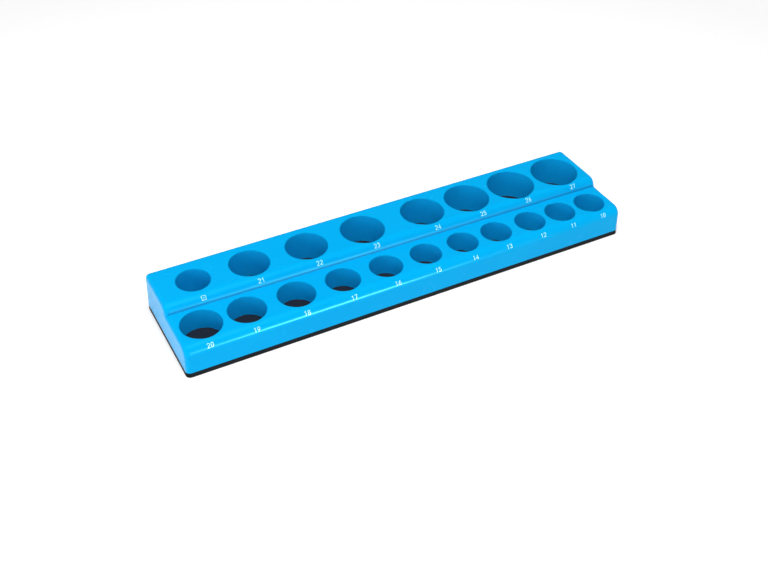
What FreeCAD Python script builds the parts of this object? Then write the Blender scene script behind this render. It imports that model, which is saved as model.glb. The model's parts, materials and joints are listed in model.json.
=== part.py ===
import FreeCAD, Part
import math
import os

import Sketcher

# A two-level magnetic socket tray: one hollow blue moulding with nineteen round wells, snapped onto
# a black base plate. The wells' tubes stand on the plate's raised floor, which has a block magnet
# glued under it below each well. A rubbery sheet closes the underside.
#
# Frame: origin at the middle of the underside, +X along the rows, +Y to the back row, +Z up.
# Lengths are in mm and angles in degrees.

# Each well: its mark, its bore, and the web of plastic on its left.
front_wells = [
    ("20mm", 34.8, 6.2),
    ("19mm", 32.5, 5.3),
    ("18mm", 32.5, 11.0),
    ("17mm", 30.3, 10.9),
    ("16mm", 29.3, 10.8),
    ("15mm", 28.0, 10.0),
    ("14mm", 28.0, 9.0),
    ("13mm", 28.0, 6.4),
    ("12mm", 28.0, 7.7),
    ("11mm", 28.0, 4.5),
    ("10mm", 28.0, 4.4),
]
back_wells = [
    ("adapter", 29.3, 19.4),
    ("21mm", 35.0, 17.4),
    ("22mm", 37.1, 16.4),
    ("23mm", 39.5, 15.4),
    ("24mm", 39.6, 20.3),
    ("25mm", 41.4, 5.8),
    ("26mm", 43.8, 4.9),
    ("27mm", 44.0, 4.7),
]

driving = {
    # Plan
    "right_margin": 7.8,
    "front_margin": 7.6,
    "crease_margin": 2.85,
    "step_lead": 5.75,
    "back_margin": 8.3,
    "front_row_slant": 0.62,
    "back_row_slant": 0.35,
    "step_slant": 0.79,
    # Side view of the moulding
    "front_height": 29.5,
    "step_rise": 8.0,
    "step_centre_drop": 1.0,
    "wall_draft": 1.9,
    "front_round": 9.0,
    "end_round": 4.0,
    "back_round_extra": 0.5,
    "crease_round": 0.8,
    "wall": 2.2,
    "deck": 2.2,
    "rim_break": 0.4,
    # Tubes under the decks
    "tube_wall": 1.6,
    "tube_merge": 0.3,
    # Base plate
    "base_band": 4.1,
    "foot_gap": 0.4,
    "well_floor": 9.5,
    "floor_skin": 1.3,
    "floor_clearance": 0.2,
    "plate_wall": 2.0,
    "rib": 1.6,
    "frame_wall": 1.2,
    # Snaps that hold the plate in the moulding
    "snap_length": 12.0,
    "snap_pitch": 110.0,
    "snap_height": 6.0,
    "snap_thickness": 1.2,
    "snap_reach": 0.6,
    "snap_clearance": 0.15,
    # Loose pieces
    "magnet_length": 20.0,
    "magnet_width": 10.0,
    "magnet_thickness": 5.0,
    "magnet_clearance": 0.15,
    "pad_thickness": 1.2,
    "pad_inset": 3.5,
    "pad_clearance": 0.2,
}
snaps_per_side = 4
cross_ribs = 5


# How near two places must be to count as one, when edges are looked for.
same_place = 0.01

# Sizes worked out from the sheet, as expressions.
back_height = "(dims.front_height + dims.step_rise)"
step_round = "(dims.step_rise + dims.step_centre_drop)"
step_run = f"sqrt({step_round}^2 - dims.step_centre_drop^2)"
front_under = "(dims.front_height - dims.deck)"
back_under = f"({back_height} - dims.deck)"
lean = "tan(dims.wall_draft)"
half_width = "dims.tray_width / 2"
first_well = f"well_{front_wells[0][0]}"
first_tube = f"dims.{first_well}_bore / 2 + dims.tube_wall - dims.{first_well}_x"
cavity_half = f"({first_tube} - dims.tube_merge)"
floor_half_length = f"({cavity_half} - dims.floor_clearance)"
floor_half_width = f"({half_width} - dims.well_floor * {lean} - dims.wall - dims.floor_clearance)"
floor_under = "(dims.well_floor - dims.floor_skin)"


def tangent(angle):
    return math.tan(math.radians(angle))


def row_centres(wells):
    """Distance of each well's axis from the tray's left end."""
    centres = {}
    edge = 0.0
    for mark, bore, web in wells:
        centres[mark] = edge + web + bore / 2
        edge += web + bore
    return centres, edge


def lay_out_tray():
    """Work out the outline, the slanting rows and crease, and the wells' axes."""
    front_centres, front_end = row_centres(front_wells)
    back_centres, back_end = row_centres(back_wells)
    length = max(front_end, back_end) + driving["right_margin"]
    bores = {mark: bore for mark, bore, web in front_wells + back_wells}
    along = {mark: centre - length / 2 for mark, centre in {**front_centres, **back_centres}.items()}

    first = front_wells[0][0]
    last = back_wells[-1][0]
    crease_fall = tangent(driving["step_slant"]) * (along[last] - along[first])
    width = driving["front_margin"] + bores[first] + driving["crease_margin"] - crease_fall
    width += driving["step_lead"] + bores[last] + driving["back_margin"]

    first_y = -width / 2 + driving["front_margin"] + bores[first] / 2
    last_y = width / 2 - driving["back_margin"] - bores[last] / 2
    crease_at_first = first_y + bores[first] / 2 + driving["crease_margin"]
    crease_y = crease_at_first + tangent(driving["step_slant"]) * along[first]

    worked = {"tray_length": length, "tray_width": width, "crease_y": crease_y}
    wells = []
    for mark, bore, web in front_wells:
        across = first_y - tangent(driving["front_row_slant"]) * (along[mark] - along[first])
        wells.append((mark, along[mark], across, bore, "front"))
    for mark, bore, web in back_wells:
        across = last_y - tangent(driving["back_row_slant"]) * (along[mark] - along[last])
        wells.append((mark, along[mark], across, bore, "back"))
    for mark, along_x, across_y, bore, row in wells:
        worked[f"well_{mark}_x"] = along_x
        worked[f"well_{mark}_y"] = across_y
        worked[f"well_{mark}_bore"] = bore

    return worked, wells


def fill_sheet(doc, values):
    sheet = doc.addObject("Spreadsheet::Sheet", "dims")
    for row, (name, value) in enumerate(values.items(), start=1):
        sheet.set(f"A{row}", name)
        sheet.set(f"B{row}", repr(round(value, 6)))
        sheet.setAlias(f"B{row}", name)
    doc.recompute()
    return sheet


def origin_plane(body, role):
    return [feature for feature in body.Origin.OriginFeatures if feature.Role == role][0]


def new_sketch(body, name, role, height="0"):
    sketch = body.newObject("Sketcher::SketchObject", name)
    sketch.AttachmentSupport = [(origin_plane(body, role), "")]
    sketch.MapMode = "FlatFace"
    sketch.setExpression("AttachmentOffset.Base.z", height)
    return sketch


def number_of(sketch, expression):
    value = sketch.evalExpression(expression)
    return float(getattr(value, "Value", value))


def draw_circles(sketch, circles):
    """Circles given as (name, x, y, diameter), each an expression on the sheet."""
    rules = []
    names = []
    for name, x_of, y_of, diameter_of in circles:
        x = number_of(sketch, x_of)
        y = number_of(sketch, y_of)
        diameter = number_of(sketch, diameter_of)
        centre = FreeCAD.Vector(x, y, 0)
        circle = sketch.addGeometry(Part.Circle(centre, FreeCAD.Vector(0, 0, 1), diameter / 2), False)
        rules.append(Sketcher.Constraint("DistanceX", -1, 1, circle, 3, x))
        rules.append(Sketcher.Constraint("DistanceY", -1, 1, circle, 3, y))
        rules.append(Sketcher.Constraint("Diameter", circle, diameter))
        names += [(f"{name}_across", x_of), (f"{name}_up", y_of), (f"{name}_size", diameter_of)]
    sketch.addConstraint(rules)
    for index, (name, expression) in enumerate(names):
        sketch.renameConstraint(index, name)
        sketch.setExpression(f"Constraints.{name}", expression)


def draw_profile(sketch, corners, rounds=None):
    """A closed profile through corners (name, x, y), each place an expression on the sheet. rounds
    maps a corner's name to the radius of the arc from it to the next, bulging right of the way."""
    rounds = rounds or {}
    places = [FreeCAD.Vector(number_of(sketch, x_of), number_of(sketch, y_of), 0)
              for name, x_of, y_of in corners]
    edges = []
    rules = []
    names = []
    first = sketch.GeometryCount
    first_rule = sketch.ConstraintCount
    for number, (name, x_of, y_of) in enumerate(corners):
        start = places[number]
        end = places[(number + 1) % len(corners)]
        index = first + number
        before = first + (number - 1) % len(corners)
        if name in rounds:
            radius = number_of(sketch, rounds[name])
            chord = end - start
            right = FreeCAD.Vector(chord.y, -chord.x, 0).normalize()
            crown_height = radius - math.sqrt(radius ** 2 - (chord.Length / 2) ** 2)
            edges.append(Part.Arc(start, (start + end) * 0.5 + right * crown_height, end))
            rules.append(Sketcher.Constraint("Radius", index, radius))
            names.append((f"{name}_round", rounds[name]))
        else:
            edges.append(Part.LineSegment(start, end))
        rules.append(Sketcher.Constraint("Coincident", before, 2, index, 1))
        names.append(None)
        rules.append(Sketcher.Constraint("DistanceX", -1, 1, index, 1, start.x))
        names.append((f"{name}_across", x_of))
        rules.append(Sketcher.Constraint("DistanceY", -1, 1, index, 1, start.y))
        names.append((f"{name}_up", y_of))
    sketch.addGeometry(edges, False)
    sketch.addConstraint(rules)
    for index, bound in enumerate(names, start=first_rule):
        if bound:
            sketch.renameConstraint(index, bound[0])
            sketch.setExpression(f"Constraints.{bound[0]}", bound[1])


def draw_rectangles(sketch, rectangles):
    """Rectangles given as (name, left, right, front, back), each an expression on the sheet."""
    for name, left, right, front, back in rectangles:
        draw_profile(sketch, [
            (f"{name}_front_left", left, front),
            (f"{name}_front_right", right, front),
            (f"{name}_back_right", right, back),
            (f"{name}_back_left", left, back),
        ])


def draw_centred_rectangle(sketch, half_x, half_y):
    draw_rectangles(sketch, [("outline", f"-({half_x})", half_x, f"-({half_y})", half_y)])


def extrude(body, kind, name, sketch, length, reversed_way=False, both_ways=False):
    """A Pad or Pocket that is checked to add or cut something."""
    before = body.Shape.Volume if body.Tip else 0.0
    feature = body.newObject(kind, name)
    feature.Profile = sketch
    feature.Reversed = reversed_way
    if both_ways:
        feature.SideType = "Symmetric"
    feature.setExpression("Length", length)
    feature.Document.recompute()
    gained = body.Shape.Volume - before
    if kind == "PartDesign::Pad" and gained <= 0:
        raise RuntimeError(f"{name} adds nothing")
    if kind == "PartDesign::Pocket" and gained >= 0:
        raise RuntimeError(f"{name} cuts nothing")
    return feature


def dress(body, kind, name, base, edges, size_property, size):
    """A Fillet or Chamfer on the named edges of base."""
    if not edges:
        raise RuntimeError(f"{name} found no edge")
    feature = body.newObject(kind, name)
    feature.Base = (base, edges)
    feature.setExpression(size_property, size)
    feature.Document.recompute()
    return feature


def edges_where(feature, test):
    return [f"Edge{index}" for index, edge in enumerate(feature.Shape.Edges, start=1) if test(edge)]


def runs_along_x(edge):
    box = edge.BoundBox
    return box.XLength > 10 * box.YLength and box.XLength > 10 * box.ZLength


def at_height(edge, height):
    box = edge.BoundBox
    return abs(box.ZMin - height) < same_place and abs(box.ZMax - height) < same_place


def well_circles(wells, row, extra):
    """Circles for one row of wells, or for both rows if row is None, wider than the bore by extra."""
    circles = []
    for mark, along, across, bore, own_row in wells:
        if row in (None, own_row):
            name = f"well_{mark}"
            circles.append((name, f"dims.{name}_x", f"dims.{name}_y", f"dims.{name}_bore + {extra}"))
    return circles


def add_block(body, name, bottom, top):
    """The outline of the tray between two heights above the underside, with its walls drafted."""
    shrink = f"({bottom}) * {lean}"
    sketch = new_sketch(body, f"{name}_sketch", "XY_Plane", bottom)
    draw_centred_rectangle(sketch, f"dims.tray_length / 2 - {shrink}", f"{half_width} - {shrink}")
    pad = extrude(body, "PartDesign::Pad", f"{name}_pad", sketch, f"({top}) - ({bottom})")
    walls = []
    foot = ""
    for index, face in enumerate(pad.Shape.Faces, start=1):
        normal = face.normalAt(0, 0)
        if abs(normal.z) < 0.5:
            walls.append(f"Face{index}")
        elif normal.z < 0:
            foot = f"Face{index}"
    draft = body.newObject("PartDesign::Draft", name)
    draft.Base = (pad, walls)
    draft.NeutralPlane = (pad, [foot])
    draft.setExpression("Angle", "dims.wall_draft")
    before = body.Shape.Volume
    body.Document.recompute()
    if body.Shape.Volume >= before:
        raise RuntimeError(f"{name} isn't drafted inwards")
    return draft


def turn_with_crease(sketch):
    """Turn a side-view sketch about the vertical, so that it is extruded along the crease."""
    offset = FreeCAD.Placement(FreeCAD.Vector(), FreeCAD.Rotation(FreeCAD.Vector(0, -1, 0), 1.0))
    sketch.AttachmentOffset = offset
    sketch.setExpression("AttachmentOffset.Rotation.Angle", "dims.step_slant")


def cut_front_level(body):
    """Cut the front half down to the lower deck, leaving the rounded step along the crease."""
    sketch = new_sketch(body, "front_level_sketch", "YZ_Plane")
    turn_with_crease(sketch)
    draw_profile(sketch, [
        ("step_top", f"dims.crease_y + {step_run}", back_height),
        ("crease", "dims.crease_y", "dims.front_height"),
        ("front", "-dims.tray_width", "dims.front_height"),
        ("above_front", "-dims.tray_width", f"{back_height} + dims.wall"),
        ("above_step", f"dims.crease_y + {step_run}", f"{back_height} + dims.wall"),
    ], {"step_top": step_round})
    return extrude(body, "PartDesign::Pocket", "front_level", sketch, "2 * dims.tray_length",
                   both_ways=True)


def round_outside(body, base, sizes):
    """The large round of the front edge, the back edge, the crease, then both ends all round."""
    low = sizes["front_height"]
    high = low + sizes["step_rise"]
    half = sizes["tray_width"] / 2

    def is_front_edge(edge):
        return runs_along_x(edge) and at_height(edge, low) and edge.BoundBox.YMax < -half / 2

    def is_back_edge(edge):
        return runs_along_x(edge) and at_height(edge, high) and edge.BoundBox.YMin > half / 2

    def is_crease(edge):
        near_crease = abs(edge.BoundBox.Center.y - sizes["crease_y"]) < 1
        return runs_along_x(edge) and at_height(edge, low) and near_crease

    front = edges_where(base, is_front_edge)
    feature = dress(body, "PartDesign::Fillet", "front_edge", base, front, "Radius", "dims.front_round")
    back = edges_where(feature, is_back_edge)
    feature = dress(body, "PartDesign::Fillet", "back_edge", feature, back, "Radius",
                    "dims.end_round + dims.back_round_extra")
    crease = edges_where(feature, is_crease)
    feature = dress(body, "PartDesign::Fillet", "crease_edge", feature, crease, "Radius",
                    "dims.crease_round")
    ends = []
    for face in feature.Shape.Faces:
        if abs(face.normalAt(0, 0).x) > 0.9 and face.Surface.TypeId == "Part::GeomPlane":
            ends += [edge for edge in face.Edges if not at_height(edge, sizes["base_band"])]
    names = edges_where(feature, lambda e: any(e.isSame(edge) for edge in ends))
    return dress(body, "PartDesign::Fillet", "end_edges", feature, names, "Radius", "dims.end_round")


def hollow_out(body):
    """Hollow the moulding from below: a straight cavity under both decks, and one along the step."""
    wall_foot = f"({half_width} - dims.base_band / 2 * {lean} - dims.wall)"
    front_wall = f"({half_width} - dims.front_height * {lean} - dims.wall)"
    back_wall = f"({half_width} - {back_height} * {lean} - dims.wall)"
    bottom = "dims.base_band / 2"
    inner_round = "(dims.front_round - dims.wall)"
    behind_step = f"(dims.crease_y + {step_run} + {step_round})"
    sketch = new_sketch(body, "cavity_sketch", "YZ_Plane")
    draw_profile(sketch, [
        ("front_top", f"-{front_wall} + {inner_round}", front_under),
        ("front_shoulder", f"-{front_wall}", f"{front_under} - {inner_round}"),
        ("front_foot", f"-{wall_foot}", bottom),
        ("back_foot", wall_foot, bottom),
        ("back_top", back_wall, back_under),
        ("step_back", behind_step, back_under),
        ("step_foot", behind_step, front_under),
    ], {"front_top": inner_round})
    extrude(body, "PartDesign::Pocket", "cavity", sketch, f"2 * {cavity_half}", both_ways=True)
    step_wall = f"({step_round} - dims.deck)"
    step_centre = f"(dims.crease_y + {step_run})"
    sketch = new_sketch(body, "step_cavity_sketch", "YZ_Plane")
    turn_with_crease(sketch)
    draw_profile(sketch, [
        ("step_crown", step_centre, back_under),
        ("step_shoulder", f"{step_centre} - {step_wall}", f"{back_under} - {step_wall}"),
        ("step_foot", f"{step_centre} - {step_wall}", f"{front_under} - dims.wall"),
        ("back_foot", f"{behind_step} + dims.wall", f"{front_under} - dims.wall"),
        ("back_top", f"{behind_step} + dims.wall", back_under),
    ], {"step_crown": step_wall})
    extrude(body, "PartDesign::Pocket", "step_cavity", sketch, f"2 * {cavity_half}", both_ways=True)


def add_tubes(body, wells):
    """A tube round each well, hanging from the decks down to the plate's floor."""
    for row, under in (("front", front_under), ("back", back_under)):
        sketch = new_sketch(body, f"{row}_tubes_sketch", "XY_Plane", "dims.well_floor")
        draw_circles(sketch, well_circles(wells, row, "2 * dims.tube_wall"))
        extrude(body, "PartDesign::Pad", f"{row}_tubes", sketch,
                f"{under} + dims.deck / 4 - dims.well_floor")


def bore_wells(body, wells, sizes):
    """Bore every well through its tube and deck, and break its rim."""
    sketch = new_sketch(body, "wells_sketch", "XY_Plane", "dims.well_floor")
    draw_circles(sketch, well_circles(wells, None, "0"))
    feature = extrude(body, "PartDesign::Pocket", "wells", sketch, back_height, reversed_way=True)
    lowest_rim = sizes["front_height"] - sizes["deck"]
    rims = []
    for mark, along, across, bore, row in wells:
        def on_this_rim(edge):
            middle = edge.valueAt((edge.FirstParameter + edge.LastParameter) / 2)
            reach = math.hypot(middle.x - along, middle.y - across)
            return abs(reach - bore / 2) < same_place and edge.BoundBox.ZMin > lowest_rim
        rims += edges_where(feature, on_this_rim)
    dress(body, "PartDesign::Chamfer", "rims", feature, rims, "Size", "dims.rim_break")


def snap_rectangles(inner, outer):
    """The snaps along both long sides, from inner to outer distance from the middle of the tray."""
    rectangles = []
    for number in range(snaps_per_side):
        along = f"({number - (snaps_per_side - 1) / 2}) * dims.snap_pitch"
        left = f"{along} - dims.snap_length / 2"
        right = f"{along} + dims.snap_length / 2"
        rectangles.append((f"front_{number}", left, right, f"-({outer})", f"-({inner})"))
        rectangles.append((f"back_{number}", left, right, inner, outer))
    return rectangles


def cut_snap_slots(body):
    """The slots inside the long walls that the plate's snaps click into."""
    sketch = new_sketch(body, "snap_slots_sketch", "XY_Plane", "dims.snap_height - dims.snap_clearance")
    outer = f"{floor_half_width} + dims.snap_reach + dims.snap_clearance"
    draw_rectangles(sketch, snap_rectangles(floor_half_width, outer))
    extrude(body, "PartDesign::Pocket", "snap_slots", sketch,
            "dims.snap_thickness + 2 * dims.snap_clearance", reversed_way=True)


def make_tray_body(doc, wells, sizes):
    body = doc.addObject("PartDesign::Body", "tray_body")
    add_block(body, "block", "dims.base_band", back_height)
    base = cut_front_level(body)
    round_outside(body, base, sizes)
    hollow_out(body)
    cut_snap_slots(body)
    add_tubes(body, wells)
    bore_wells(body, wells, sizes)
    return body


def magnet_rectangles(wells, extra):
    """A rectangle round each magnet, wider than it by extra on every side."""
    half_x = f"(dims.magnet_length / 2 + {extra})"
    half_y = f"(dims.magnet_width / 2 + {extra})"
    rectangles = []
    for mark, along, across, bore, row in wells:
        x = f"dims.well_{mark}_x"
        y = f"dims.well_{mark}_y"
        rectangles.append((f"under_{mark}", f"{x} - {half_x}", f"{x} + {half_x}", f"{y} - {half_y}",
                           f"{y} + {half_y}"))
    return rectangles


def add_ribs(body):
    """One long rib under the step and ribs across, which carry the floor and the sheet."""
    inside_length = f"({floor_half_length} - dims.plate_wall / 2)"
    inside_width = f"({floor_half_width} - dims.plate_wall / 2)"
    depth = f"{floor_under} - dims.pad_thickness"
    sketch = new_sketch(body, "long_rib_sketch", "XY_Plane", "dims.pad_thickness")
    draw_rectangles(sketch, [("long", f"-{inside_length}", inside_length, "dims.crease_y - dims.rib / 2",
                              "dims.crease_y + dims.rib / 2")])
    extrude(body, "PartDesign::Pad", "long_rib", sketch, depth)
    sketch = new_sketch(body, "cross_ribs_sketch", "XY_Plane", "dims.pad_thickness")
    ribs = []
    for number in range(cross_ribs):
        along = f"({(number + 1) / (cross_ribs + 1) * 2 - 1}) * {floor_half_length}"
        ribs.append((f"cross_{number}", f"{along} - dims.rib / 2", f"{along} + dims.rib / 2",
                     f"-{inside_width}", inside_width))
    draw_rectangles(sketch, ribs)
    extrude(body, "PartDesign::Pad", "cross_ribs", sketch, depth)


def make_base_plate(doc, wells):
    """The black plate: a flush band, a raised floor inside the moulding, and magnet frames below."""
    body = doc.addObject("PartDesign::Body", "base_plate")
    slab = add_block(body, "slab", "dims.foot_gap", "dims.base_band")
    corners = edges_where(slab, lambda edge: not at_height(edge, edge.BoundBox.ZMin))
    dress(body, "PartDesign::Fillet", "corners", slab, corners, "Radius", "dims.end_round")

    sketch = new_sketch(body, "raised_floor_sketch", "XY_Plane", "dims.base_band")
    draw_centred_rectangle(sketch, floor_half_length, floor_half_width)
    extrude(body, "PartDesign::Pad", "raised_floor", sketch, "dims.well_floor - dims.base_band")
    sketch = new_sketch(body, "pad_recess_sketch", "XY_Plane")
    draw_centred_rectangle(sketch, "dims.tray_length / 2 - dims.pad_inset",
                           f"{half_width} - dims.pad_inset")
    extrude(body, "PartDesign::Pocket", "pad_recess", sketch, "dims.pad_thickness", reversed_way=True)
    sketch = new_sketch(body, "hollow_sketch", "XY_Plane")
    draw_centred_rectangle(sketch, f"{floor_half_length} - dims.plate_wall",
                           f"{floor_half_width} - dims.plate_wall")
    extrude(body, "PartDesign::Pocket", "hollow", sketch, floor_under, reversed_way=True)
    add_ribs(body)

    sketch = new_sketch(body, "frames_sketch", "XY_Plane", "dims.pad_thickness")
    draw_rectangles(sketch, magnet_rectangles(wells, "dims.magnet_clearance + dims.frame_wall"))
    extrude(body, "PartDesign::Pad", "frames", sketch, f"{floor_under} - dims.pad_thickness")
    sketch = new_sketch(body, "magnet_pockets_sketch", "XY_Plane")
    draw_rectangles(sketch, magnet_rectangles(wells, "dims.magnet_clearance"))
    extrude(body, "PartDesign::Pocket", "magnet_pockets", sketch, floor_under, reversed_way=True)

    sketch = new_sketch(body, "snaps_sketch", "XY_Plane", "dims.snap_height")
    inner = f"{floor_half_width} - dims.plate_wall / 2"
    draw_rectangles(sketch, snap_rectangles(inner, f"{floor_half_width} + dims.snap_reach"))
    extrude(body, "PartDesign::Pad", "snaps", sketch, "dims.snap_thickness")
    return body


def make_pad(doc):
    """The sheet that closes the underside and keeps the tray from slipping."""
    body = doc.addObject("PartDesign::Body", "anti_slip_pad")
    sketch = new_sketch(body, "sheet_sketch", "XY_Plane")
    inset = "(dims.pad_inset + dims.pad_clearance)"
    draw_centred_rectangle(sketch, f"dims.tray_length / 2 - {inset}", f"{half_width} - {inset}")
    extrude(body, "PartDesign::Pad", "sheet", sketch, "dims.pad_thickness")
    return body


def make_magnet(doc, mark):
    """The block magnet glued up under the plate's floor below one well."""
    block = doc.addObject("Part::Box", f"magnet_{mark}")
    block.setExpression("Length", "dims.magnet_length")
    block.setExpression("Width", "dims.magnet_width")
    block.setExpression("Height", "dims.magnet_thickness")
    block.setExpression("Placement.Base.x", f"dims.well_{mark}_x - dims.magnet_length / 2")
    block.setExpression("Placement.Base.y", f"dims.well_{mark}_y - dims.magnet_width / 2")
    block.setExpression("Placement.Base.z", f"{floor_under} - dims.magnet_thickness")
    return block


def check(doc, nodes):
    for item in doc.Objects:
        if "Invalid" in item.State or "Error" in item.State:
            raise RuntimeError(f"{item.Name} failed: {item.State}")
    for node in nodes:
        if node.Shape.isNull() or not node.Shape.isValid():
            raise RuntimeError(f"{node.Label} has no valid shape")


def main():
    os.makedirs("parts", exist_ok=True)
    doc = FreeCAD.newDocument("socket_tray")
    worked, wells = lay_out_tray()
    sizes = {**driving, **worked}
    fill_sheet(doc, sizes)
    nodes = [
        make_tray_body(doc, wells, sizes),
        make_base_plate(doc, wells),
        make_pad(doc),
    ]
    nodes += [make_magnet(doc, mark) for mark, along, across, bore, row in wells]
    doc.recompute()
    check(doc, nodes)
    for node in nodes:
        node.Shape.exportStep(f"parts/{node.Label}.step")
        box = node.Shape.BoundBox
        print(f"{node.Label}: {len(node.Shape.Solids)} solid, {node.Shape.Volume / 1000:.2f} cm3,"
              f" z {box.ZMin:.2f} to {box.ZMax:.2f}, {box.XLength:.1f} x {box.YLength:.1f}")


main()
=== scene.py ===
import json
import math

import bmesh
import bpy
from mathutils import Matrix, Vector


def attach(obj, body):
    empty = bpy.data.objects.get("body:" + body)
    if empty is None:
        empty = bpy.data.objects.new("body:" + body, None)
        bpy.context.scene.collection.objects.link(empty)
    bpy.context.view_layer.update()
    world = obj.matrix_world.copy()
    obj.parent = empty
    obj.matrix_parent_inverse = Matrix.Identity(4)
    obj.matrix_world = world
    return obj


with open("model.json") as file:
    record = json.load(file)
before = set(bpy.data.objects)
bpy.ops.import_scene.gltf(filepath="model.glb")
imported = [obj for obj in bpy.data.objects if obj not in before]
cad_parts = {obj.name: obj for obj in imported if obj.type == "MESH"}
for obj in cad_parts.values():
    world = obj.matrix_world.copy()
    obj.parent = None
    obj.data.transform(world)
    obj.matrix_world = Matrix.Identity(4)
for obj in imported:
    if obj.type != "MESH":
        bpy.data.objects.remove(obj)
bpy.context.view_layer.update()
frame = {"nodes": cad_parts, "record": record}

nodes = frame["nodes"]
wells = {m["name"]: m for m in frame["record"]["mounts"] if m["kind"] == "bore"}
mm = 0.001  # every length is in metres
print("socket tray loaded,", len(nodes), "CAD nodes,", len(wells), "wells")


def newMaterial(name):
    mat = bpy.data.materials.new(name)
    mat.use_nodes = True
    tree = mat.node_tree
    tree.nodes.clear()
    shader = tree.nodes.new("ShaderNodeBsdfPrincipled")
    output = tree.nodes.new("ShaderNodeOutputMaterial")
    tree.links.new(shader.outputs["BSDF"], output.inputs["Surface"])
    return mat, tree, shader


def partCoords(tree, kind="Object"):
    return tree.nodes.new("ShaderNodeTexCoord").outputs[kind]


def noise(tree, coords, kind):
    tex = tree.nodes.new("ShaderNodeTexNoise")
    for socket, value in zip(("Scale", "Detail", "Roughness"), kind):
        tex.inputs[socket].default_value = value
    tree.links.new(coords, tex.inputs["Vector"])
    return tex.outputs["Fac"]


def ramp(tree, value, places, colours):
    node = tree.nodes.new("ShaderNodeValToRGB")
    for element, place, colour in zip(node.color_ramp.elements, places, colours):
        element.position = place
        element.color = (*colour, 1)
    tree.links.new(value, node.inputs["Fac"])
    return node.outputs["Color"]


def spread(tree, value, low, high, fromLow=0.3, fromHigh=0.7):
    # most of a noise lies between 0.3 and 0.7
    node = tree.nodes.new("ShaderNodeMapRange")
    node.inputs["From Min"].default_value = fromLow
    node.inputs["From Max"].default_value = fromHigh
    node.inputs["To Min"].default_value = low
    node.inputs["To Max"].default_value = high
    tree.links.new(value, node.inputs["Value"])
    return node.outputs["Result"]


def compute(tree, kind, *values):
    # each value is a socket or a plain number
    node = tree.nodes.new("ShaderNodeMath")
    node.operation = kind
    for socket, value in zip(node.inputs, values):
        if isinstance(value, bpy.types.NodeSocket):
            tree.links.new(value, socket)
        else:
            socket.default_value = value
    return node.outputs["Value"]


def allOf(tree, first, *others):
    for other in others:
        first = compute(tree, "MULTIPLY", first, other)
    return first


def blend(tree, amount, first, second, kind="RGBA"):
    # a mix node has its own sockets for numbers and for colours
    fromSocket, toSocket, result = {"FLOAT": (2, 3, 0), "RGBA": (6, 7, 2)}[kind]
    node = tree.nodes.new("ShaderNodeMix")
    node.data_type = kind
    tree.links.new(amount, node.inputs[0])
    tree.links.new(first, node.inputs[fromSocket])
    node.inputs[toSocket].default_value = second
    return node.outputs[result]


def bump(tree, height, distance, strength=1.0, under=None):
    node = tree.nodes.new("ShaderNodeBump")
    node.inputs["Distance"].default_value = distance
    node.inputs["Strength"].default_value = strength
    tree.links.new(height, node.inputs["Height"])
    if under is not None:
        tree.links.new(under, node.inputs["Normal"])
    return node.outputs["Normal"]


def upPart(tree, vector):
    split = tree.nodes.new("ShaderNodeSeparateXYZ")
    tree.links.new(vector, split.inputs["Vector"])
    return split.outputs["Z"]


def nearPlane(tree, vector, way, at, full, none):
    # one near the plane that stands across the way, falling to nothing further off
    across = tree.nodes.new("ShaderNodeVectorMath")
    across.operation = "DOT_PRODUCT"
    across.inputs[1].default_value = way
    tree.links.new(vector, across.inputs[0])
    away = compute(tree, "ABSOLUTE", compute(tree, "SUBTRACT", across.outputs["Value"], at))
    return spread(tree, away, 1, 0, full, none)


shellLook = {
    "colour": (0.0005, 0.383, 0.792),
    "paler": (0.0009, 0.397, 0.806),
    "clouds": (14.0, 4.0, 0.5),    # a noise: spots per metre, detail and roughness
    "cloudEdges": (0.35, 0.65),
    "ripple": (45.0, 2.0, 0.5),
    "rippleDepth": 0.03 * mm,
    "grain": (1900.0, 2.0, 0.5),
    "grainDepth": 0.008 * mm,
    "handling": (60.0, 5.0, 0.65),
    "roughness": (0.21, 0.29),
    "reflectionTint": (0.09, 0.76, 0.85, 1),
    "ior": 1.20,
    # the groove at the foot of the step has painted shade in its colour, and is duller
    "grooveAt": -6.3 * mm,
    "grooveSlant": 0.79,           # degrees from the long edges
    "grooveFloor": 29.2 * mm,
    "grooveHalf": 0.6 * mm,
    "grooveShadeColour": (0.0002, 0.20, 0.50, 1),
    "dullHalf": 1.6 * mm,
    "dullRoughness": 0.46,
    # the walls of the wells are painted paler, standing in for the light that comes through their
    # thin plastic
    "wellWallPaintedLight": (0.0045, 0.445, 0.920, 1),
    "wellsHalfLength": 207 * mm,
    "wellsHalfWidth": 46 * mm,
    "wellSteepness": (0.3, 0.6),   # the face's slope, upright at nought
    "riserAt": -5.9 * mm,
    "riserHalf": 0.8 * mm,
    "riserFade": 0.2 * mm,
    "fade": 0.5 * mm,
    # the shadow line where the shell meets the base
    "seamTop": 4.95 * mm,
    "seamFade": 0.25 * mm,
    "seamColour": (0.004, 0.018, 0.030, 1),
}


def acrossStep(look):
    return (math.tan(math.radians(look["grooveSlant"])), 1, 0)


def nearGroove(tree, coords, look, half):
    inside = nearPlane(tree, coords, acrossStep(look), look["grooveAt"], 0, half)
    floor = look["grooveFloor"]
    above = spread(tree, upPart(tree, coords), 0, 1, floor - look["fade"], floor)
    return allOf(tree, inside, above)


def wellWalls(tree, coords, look):
    # the steep faces well inside the outer walls, apart from the step's own
    steep = nearPlane(tree, partCoords(tree, "Normal"), (0, 0, 1), 0, *look["wellSteepness"])
    half = look["wellsHalfLength"]
    inLength = nearPlane(tree, coords, (1, 0, 0), 0, half, half + look["fade"])
    half = look["wellsHalfWidth"]
    inWidth = nearPlane(tree, coords, (0, 1, 0), 0, half, half + look["fade"])
    half = look["riserHalf"]
    onStep = nearPlane(tree, coords, acrossStep(look), look["riserAt"],
                       half, half + look["riserFade"])
    return allOf(tree, steep, inLength, inWidth, compute(tree, "SUBTRACT", 1, onStep))


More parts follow.
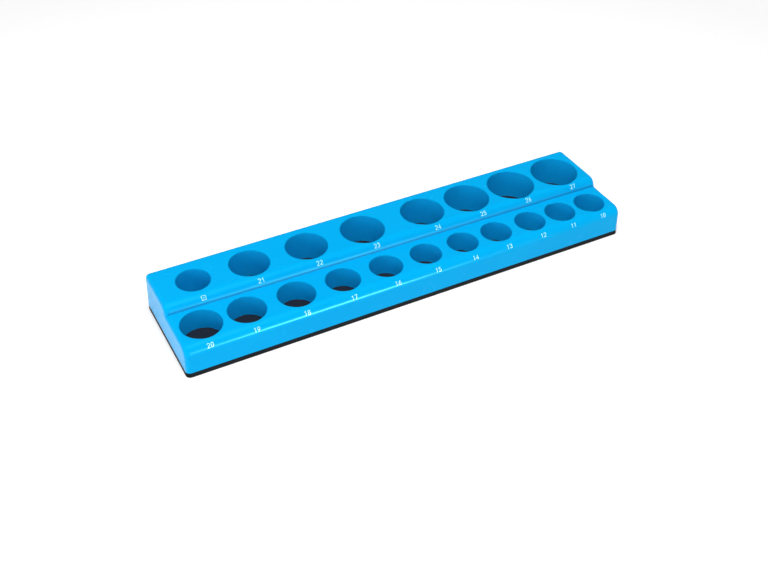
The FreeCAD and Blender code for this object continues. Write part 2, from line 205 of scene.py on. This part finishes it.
def shellPlastic(look):
    mat, tree, shader = newMaterial("shellPlastic")
    coords = partCoords(tree)
    clouds = noise(tree, coords, look["clouds"])
    colour = ramp(tree, clouds, look["cloudEdges"], (look["colour"], look["paler"]))
    dustAndGrooveShade = nearGroove(tree, coords, look, look["grooveHalf"])
    # painted shade darkens the groove at the foot of the step
    colour = blend(tree, dustAndGrooveShade, colour, look["grooveShadeColour"])
    # painted light makes the walls of the wells paler
    colour = blend(tree, wellWalls(tree, coords, look), colour, look["wellWallPaintedLight"])
    seamTop = look["seamTop"]
    seam = spread(tree, upPart(tree, coords), 1, 0, seamTop - look["seamFade"], seamTop)
    tree.links.new(blend(tree, seam, colour, look["seamColour"]), shader.inputs["Base Color"])
    rough = spread(tree, noise(tree, coords, look["handling"]), *look["roughness"])
    dull = nearGroove(tree, coords, look, look["dullHalf"])
    rough = blend(tree, dull, rough, look["dullRoughness"], "FLOAT")
    tree.links.new(rough, shader.inputs["Roughness"])
    ripple = bump(tree, noise(tree, coords, look["ripple"]), look["rippleDepth"])
    grain = bump(tree, noise(tree, coords, look["grain"]), look["grainDepth"], under=ripple)
    tree.links.new(grain, shader.inputs["Normal"])
    shader.inputs["Specular Tint"].default_value = look["reflectionTint"]
    shader.inputs["IOR"].default_value = look["ior"]
    return mat


baseLook = {
    "colour": (0.0080, 0.0100, 0.0125),
    "dustAndGrooveShade": (0.017, 0.017, 0.019),
    "dust": (120.0, 5.0, 0.6),
    "dustEdges": (0.40, 0.75),
    "raisedFrom": 6.5 * mm,        # the raised floor under the wells is painted paler and bluer, standing in for the light thrown down by the blue walls
    "raisedFade": 0.5 * mm,
    "raisedShare": 0.8,
    "raisedFloorPaintedLight": (0.017, 0.024, 0.038, 1),
    "spark": (1500.0, 3.0, 0.5),
    "sparkDepth": 0.03 * mm,
    "roughness": (0.50, 0.66),
    "ior": 1.18,
    "specular": 0.15,
}


def basePlastic(look):
    mat, tree, shader = newMaterial("basePlastic")
    coords = partCoords(tree)
    dust = noise(tree, coords, look["dust"])
    colour = ramp(tree, dust, look["dustEdges"], (look["colour"], look["dustAndGrooveShade"]))
    start, end = look["raisedFrom"] - look["raisedFade"], look["raisedFrom"]
    raised = spread(tree, upPart(tree, coords), 0, look["raisedShare"], start, end)
    # painted reflected light from the blue walls makes the raised floor paler and bluer
    tree.links.new(blend(tree, raised, colour, look["raisedFloorPaintedLight"]), shader.inputs["Base Color"])
    tree.links.new(spread(tree, dust, *look["roughness"]), shader.inputs["Roughness"])
    spark = bump(tree, noise(tree, coords, look["spark"]), look["sparkDepth"])
    tree.links.new(spark, shader.inputs["Normal"])
    shader.inputs["IOR"].default_value = look["ior"]
    shader.inputs["Specular IOR Level"].default_value = look["specular"]
    return mat


padLook = {
    "colour": (0.014, 0.014, 0.015),
    "worn": (0.032, 0.031, 0.031),
    "wear": (40.0, 5.0, 0.6),
    "wearEdges": (0.40, 0.70),
    "ribScale": 200.0,
    "ribTurns": (45, -45),         # two sets of fine ribs cross to make a diamond grip
    "ribDepth": 0.20 * mm,
    "ribStrength": 0.6,
    "roughness": (0.72, 0.90),
}


def padRubber(look):
    mat, tree, shader = newMaterial("padRubber")
    coords = partCoords(tree)
    wear = noise(tree, coords, look["wear"])
    colour = ramp(tree, wear, look["wearEdges"], (look["colour"], look["worn"]))
    tree.links.new(colour, shader.inputs["Base Color"])
    tree.links.new(spread(tree, wear, *look["roughness"]), shader.inputs["Roughness"])
    normal = None
    for turn in look["ribTurns"]:
        turned = tree.nodes.new("ShaderNodeMapping")
        turned.inputs["Rotation"].default_value = (0, 0, math.radians(turn))
        tree.links.new(coords, turned.inputs["Vector"])
        ribs = tree.nodes.new("ShaderNodeTexWave")
        ribs.bands_direction = "X"
        ribs.inputs["Scale"].default_value = look["ribScale"]
        tree.links.new(turned.outputs["Vector"], ribs.inputs["Vector"])
        normal = bump(tree, ribs.outputs["Fac"], look["ribDepth"], look["ribStrength"], normal)
    tree.links.new(normal, shader.inputs["Normal"])
    return mat


magnetLook = {
    "colour": (0.045, 0.043, 0.042),
    "worn": (0.11, 0.105, 0.10),
    "grinding": (900.0, 4.0, 0.6),
    "grindingEdges": (0.35, 0.75),
    "stretch": (0.08, 1.0, 1.0),   # grinding marks run along the block
    "grindDepth": 0.02 * mm,
    "roughness": (0.40, 0.62),
    "metallic": 0.35,
}


def magnetCeramic(look):
    mat, tree, shader = newMaterial("magnetCeramic")
    stretched = tree.nodes.new("ShaderNodeMapping")
    stretched.inputs["Scale"].default_value = look["stretch"]
    tree.links.new(partCoords(tree), stretched.inputs["Vector"])
    marks = noise(tree, stretched.outputs["Vector"], look["grinding"])
    colour = ramp(tree, marks, look["grindingEdges"], (look["colour"], look["worn"]))
    tree.links.new(colour, shader.inputs["Base Color"])
    tree.links.new(spread(tree, marks, *look["roughness"]), shader.inputs["Roughness"])
    tree.links.new(bump(tree, marks, look["grindDepth"]), shader.inputs["Normal"])
    shader.inputs["Metallic"].default_value = look["metallic"]
    return mat


inkLook = {
    "colour": (0.46, 0.95, 0.98),
    "thin": (0.34, 0.88, 0.95),
    "specks": (1400.0, 3.0, 0.6),
    "speckEdges": (0.30, 0.50),
    "inkDepth": 0.01 * mm,
    "roughness": (0.40, 0.55),
}


def numberInk(look):
    mat, tree, shader = newMaterial("numberInk")
    specks = noise(tree, partCoords(tree), look["specks"])
    colour = ramp(tree, specks, look["speckEdges"], (look["thin"], look["colour"]))
    tree.links.new(colour, shader.inputs["Base Color"])
    tree.links.new(spread(tree, specks, *look["roughness"]), shader.inputs["Roughness"])
    tree.links.new(bump(tree, specks, look["inkDepth"]), shader.inputs["Normal"])
    return mat


def dress(node, mat):
    mesh = nodes[node].data
    mesh.materials.clear()
    mesh.materials.append(mat)


dress("tray_body", shellPlastic(shellLook))
dress("base_plate", basePlastic(baseLook))
dress("anti_slip_pad", padRubber(padLook))
magnetMat = magnetCeramic(magnetLook)
for node in nodes:
    if node.startswith("magnet_"):
        dress(node, magnetMat)
print("finishes on the shell, base, pad and magnets")


markLook = {
    "height": 4.1 * mm,
    "digitWidth": 2.45 * mm,
    "gap": 0.7 * mm,
    "pen": 0.46 * mm,
    "penEnd": 1 / 3,               # how far a line runs past its last point, in pens
    "sharpest": 0.55,              # keeps the mitre of a sharp corner short
    "arcStep": 12,                 # degrees between the points of an oval
    "fewestSteps": 8,
    "slice": 0.45 * mm,            # the marks are cut this fine to follow the rounding
    "proud": 0.04 * mm,
    "rooted": 0.15 * mm,
    "squareSide": 4.0 * mm,
    "squarePen": 0.368 * mm,
    "squareDot": 0.368 * mm,       # half its side
}
# The rounding that each row's marks are printed on, and how far a mark stands right of its well.
rowLook = {
    "front": {"radius": 9.0 * mm, "y": -39.4 * mm, "z": 20.5 * mm, "slant": 0.0, "tilt": 55.0,
              "shift": 0.8 * mm, "shiftGrowth": 0.0105},
    "back": {"radius": 9.0 * mm, "y": 2.5 * mm, "z": 28.5 * mm, "slant": 0.79, "tilt": 45.0,
             "shift": 2.35 * mm, "shiftGrowth": 0.009},
}
frontRowEnds = -5 * mm
inkMat = numberInk(inkLook)

# Pen strokes of each digit in a box one wide and one high. A stroke of four numbers and two angles
# is part of an oval: centre, half width, half height, from and to in degrees.
digitStrokes = {
    "0": [(0.5, 0.5, 0.5, 0.5, 0, 360)],
    "1": [[(0.22, 0.78), (0.62, 1.0), (0.62, 0.0)]],
    "2": [(0.5, 0.72, 0.48, 0.28, 165, -38), [(0.88, 0.55), (0.0, 0.0), (1.0, 0.0)]],
    "3": [(0.48, 0.76, 0.44, 0.24, 150, -90), (0.48, 0.27, 0.52, 0.27, 90, -150)],
    "4": [[(0.74, 0.0), (0.74, 1.0), (0.0, 0.30), (1.0, 0.30)]],
    "5": [[(0.92, 1.0), (0.18, 1.0), (0.10, 0.52)], (0.46, 0.33, 0.54, 0.33, 132, -150)],
    "6": [(0.5, 0.31, 0.48, 0.31, 0, 360), [(0.84, 1.0), (0.30, 0.72), (0.04, 0.38)]],
    "7": [[(0.0, 1.0), (1.0, 1.0), (0.36, 0.0)]],
    "8": [(0.5, 0.77, 0.40, 0.23, 0, 360), (0.5, 0.27, 0.50, 0.27, 0, 360)],
    "9": [(0.5, 0.69, 0.48, 0.31, 0, 360), [(0.16, 0.0), (0.70, 0.28), (0.96, 0.62)]],
}
squareCorners = ((-1, -1), (1, -1), (1, 1), (-1, 1))


def strokePoints(stroke, look, width, height):
    if isinstance(stroke, list):
        return [Vector((x * width, y * height)) for x, y in stroke]
    x, y, halfWide, halfHigh, start, end = stroke
    steps = max(look["fewestSteps"], round(abs(end - start) / look["arcStep"]))
    turns = [math.radians(start + (end - start) * i / steps) for i in range(steps + 1)]
    return [Vector(((x + halfWide * math.cos(turn)) * width,
                    (y + halfHigh * math.sin(turn)) * height)) for turn in turns]


def penLine(shape, points, look, pen, corner=(0, 0)):
    # a flat ribbon along the points, mitred at the corners
    closed = (points[0] - points[-1]).length < 1e-7
    if closed:
        points = points[:-1]
    count = len(points)
    pairs = []
    for i, here in enumerate(points):
        before = here - points[i - 1] if closed or i > 0 else None
        after = points[(i + 1) % count] - here if closed or i < count - 1 else None
        ways = [way.normalized() for way in (before, after) if way is not None]
        way = sum(ways, Vector((0, 0))).normalized()
        side = Vector((-way.y, way.x))
        across = Vector((-ways[0].y, ways[0].x))
        reach = pen / 2 / max(look["sharpest"], side.dot(across))
        middle = here + Vector(corner)
        if after is None:
            middle += way * pen * look["penEnd"]
        elif before is None:
            middle -= way * pen * look["penEnd"]
        edges = (middle + side * reach, middle - side * reach)
        pairs.append([shape.verts.new((*edge, 0)) for edge in edges])
    for i in range(count if closed else count - 1):
        (a, b), (c, d) = pairs[i], pairs[(i + 1) % count]
        shape.faces.new((a, b, d, c))


def digitMesh(text, look):
    shape = bmesh.new()
    pen = look["pen"]
    width, height = look["digitWidth"] - pen, look["height"] - pen
    step = look["digitWidth"] + look["gap"]
    for place, digit in enumerate(text):
        left = (place - (len(text) - 1) / 2) * step - width / 2
        for stroke in digitStrokes[digit]:
            points = strokePoints(stroke, look, width, height)
            penLine(shape, points, look, pen, (left, -height / 2))
    return shape


def squareMesh(look):
    # the drive square of the adapter's place: an open square with a small solid one in it
    shape = bmesh.new()
    half = look["squareSide"] / 2 - look["pen"] / 2
    corners = [Vector((x * half, y * half)) for x, y in squareCorners]
    penLine(shape, corners + corners[:1], look, look["squarePen"])
    dot = look["squareDot"]
    shape.faces.new([shape.verts.new((x * dot, y * dot, 0)) for x, y in squareCorners])
    return shape


def wrapMark(shape, look, row, x):
    cut = -look["height"] / 2
    while cut < look["height"] / 2:
        cut += look["slice"]
        everything = shape.verts[:] + shape.edges[:] + shape.faces[:]
        bmesh.ops.bisect_plane(shape, geom=everything, plane_co=(0, cut, 0), plane_no=(0, 1, 0))
    raised = bmesh.ops.extrude_face_region(shape, geom=shape.faces[:])
    for v in raised["geom"]:
        if isinstance(v, bmesh.types.BMVert):
            v.co.z = look["proud"] + look["rooted"]
    bmesh.ops.recalc_face_normals(shape, faces=shape.faces[:])
    slant = math.radians(row["slant"])
    for v in shape.verts:
        along, up, out = v.co
        tilt = math.radians(row["tilt"]) - up / row["radius"]
        reach = row["radius"] - look["rooted"] + out
        spot = x + along * math.cos(slant)
        y = row["y"] - spot * math.tan(slant) - reach * math.sin(tilt)
        v.co = (spot, y, row["z"] + reach * math.cos(tilt))


def makeMark(name, label, x, row, look):
    shape = squareMesh(look) if label is None else digitMesh(label, look)
    wrapMark(shape, look, row, x)
    mesh = bpy.data.meshes.new(name)
    shape.to_mesh(mesh)
    shape.free()
    mesh.materials.append(inkMat)
    piece = bpy.data.objects.new(name, mesh)
    bpy.context.scene.collection.objects.link(piece)
    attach(piece, "root")


for name, well in wells.items():
    size = name.removeprefix("well_").removesuffix("mm")
    label = None if size == "adapter" else size
    x, y, _ = well["pos_m"]
    row = rowLook["front" if y < frontRowEnds else "back"]
    makeMark("sizeMark_" + size, label, x + row["shift"] + row["shiftGrowth"] * x, row, markLook)
print("size marks printed beside", len(wells), "wells")


floorLook = {
    "size": 8.0,
    "colour": (0.88, 0.88, 0.88),
    "fibreColour": (0.8624, 0.8624, 0.8624),
    "fibres": (90.0, 4.0, 0.5),
    "fibreEdges": (0.3, 0.7),
    "roughness": 0.9,
    "nearGlow": 0.23,
    "farGlow": 0.80,               # evens the light out beyond the softbox's reach
    "glowFrom": 0.7,
    "glowTo": 2.0,
}


def makeFloor(look):
    half = look["size"] / 2
    shape = bmesh.new()
    shape.faces.new([shape.verts.new((x * half, y * half, 0)) for x, y in squareCorners])
    mesh = bpy.data.meshes.new("floor")
    shape.to_mesh(mesh)
    shape.free()
    floor = bpy.data.objects.new("floor", mesh)
    bpy.context.scene.collection.objects.link(floor)
    mat, tree, shader = newMaterial("floorPaper")
    coords = partCoords(tree)
    fibres = noise(tree, coords, look["fibres"])
    colour = ramp(tree, fibres, look["fibreEdges"], (look["colour"], look["fibreColour"]))
    tree.links.new(colour, shader.inputs["Base Color"])
    shader.inputs["Roughness"].default_value = look["roughness"]
    shader.inputs["Specular IOR Level"].default_value = 0.0
    shader.inputs["Emission Color"].default_value = (1, 1, 1, 1)
    away = tree.nodes.new("ShaderNodeVectorMath")
    away.operation = "LENGTH"
    tree.links.new(coords, away.inputs[0])
    glow = spread(tree, away.outputs["Value"], look["nearGlow"], look["farGlow"],
                  look["glowFrom"], look["glowTo"])
    tree.links.new(glow, shader.inputs["Emission Strength"])
    mesh.materials.append(mat)


lightLook = {
    "skyLight": 0.33,
    "skyShown": 1.0,               # how bright the sky looks, apart from the light that it gives
    "aim": (0.0, 0.0, 0.02),
    "lamps": {                     # a lamp lights the surfaces, shines in their gloss, or both
        "frontStrip": {"place": (0.30, -1.25, 0.06), "size": (0.32, 0.12), "watts": 62.0,
                       "lights": False, "shines": True},
        "leftFill": {"place": (-0.90, -0.42, 0.24), "size": (0.5, 0.4), "watts": 2.1,
                     "lights": True, "shines": False},
        "keySoftbox": {"place": (-0.18, -0.36, 1.52), "size": (1.0, 0.9), "watts": 22.4,
                       "lights": True, "shines": True},
    },
}


def makeLights(look):
    world = bpy.data.worlds.new("studioWorld")
    bpy.context.scene.world = world
    world.use_nodes = True
    tree = world.node_tree
    sky = tree.nodes["Background"]
    sky.inputs["Color"].default_value = (1, 1, 1, 1)
    seen = tree.nodes.new("ShaderNodeLightPath").outputs["Is Camera Ray"]
    strength = spread(tree, seen, look["skyLight"], look["skyShown"], 0, 1)
    tree.links.new(strength, sky.inputs["Strength"])
    world.cycles_visibility.glossy = False   # the gloss shows the lamps and the floor, not the sky
    for name, lamp in look["lamps"].items():
        light = bpy.data.lights.new(name, "AREA")
        light.shape = "RECTANGLE"
        light.size, light.size_y = lamp["size"]
        light.energy = lamp["watts"]
        holder = bpy.data.objects.new(name, light)
        holder.visible_camera = False
        holder.visible_diffuse = lamp["lights"]
        holder.visible_glossy = lamp["shines"]
        holder.location = lamp["place"]
        aim = Vector(look["aim"]) - Vector(lamp["place"])
        holder.rotation_mode = "QUATERNION"
        holder.rotation_quaternion = aim.to_track_quat("-Z", "Y")
        bpy.context.scene.collection.objects.link(holder)


cameraLook = {
    "place": (-0.35851, -0.64060, 0.59408),
    "heading": 28.63,              # degrees from straight back towards the right end
    "down": 40.09,
    "roll": 1.09,
    "lens": 49.6,
    "sensor": 36.0,
    "shift": (-0.0008, 0.0007),
    "clip": (0.05, 30.0),
}


def makeCamera(look):
    data = bpy.data.cameras.new("trayCamera")
    data.sensor_width = look["sensor"]
    data.lens = look["lens"]
    data.shift_x, data.shift_y = look["shift"]
    data.clip_start, data.clip_end = look["clip"]
    camera = bpy.data.objects.new("trayCamera", data)
    turn = (Matrix.Rotation(math.radians(-look["heading"]), 4, "Z")
            @ Matrix.Rotation(math.radians(90 - look["down"]), 4, "X")
            @ Matrix.Rotation(math.radians(look["roll"]), 4, "Z"))
    camera.matrix_world = Matrix.Translation(look["place"]) @ turn
    bpy.context.scene.collection.objects.link(camera)
    bpy.context.scene.camera = camera


makeFloor(floorLook)
makeLights(lightLook)
makeCamera(cameraLook)
bpy.context.scene.view_settings.view_transform = "Standard"
print("floor, light and camera set")

bpy.context.view_layer.update()
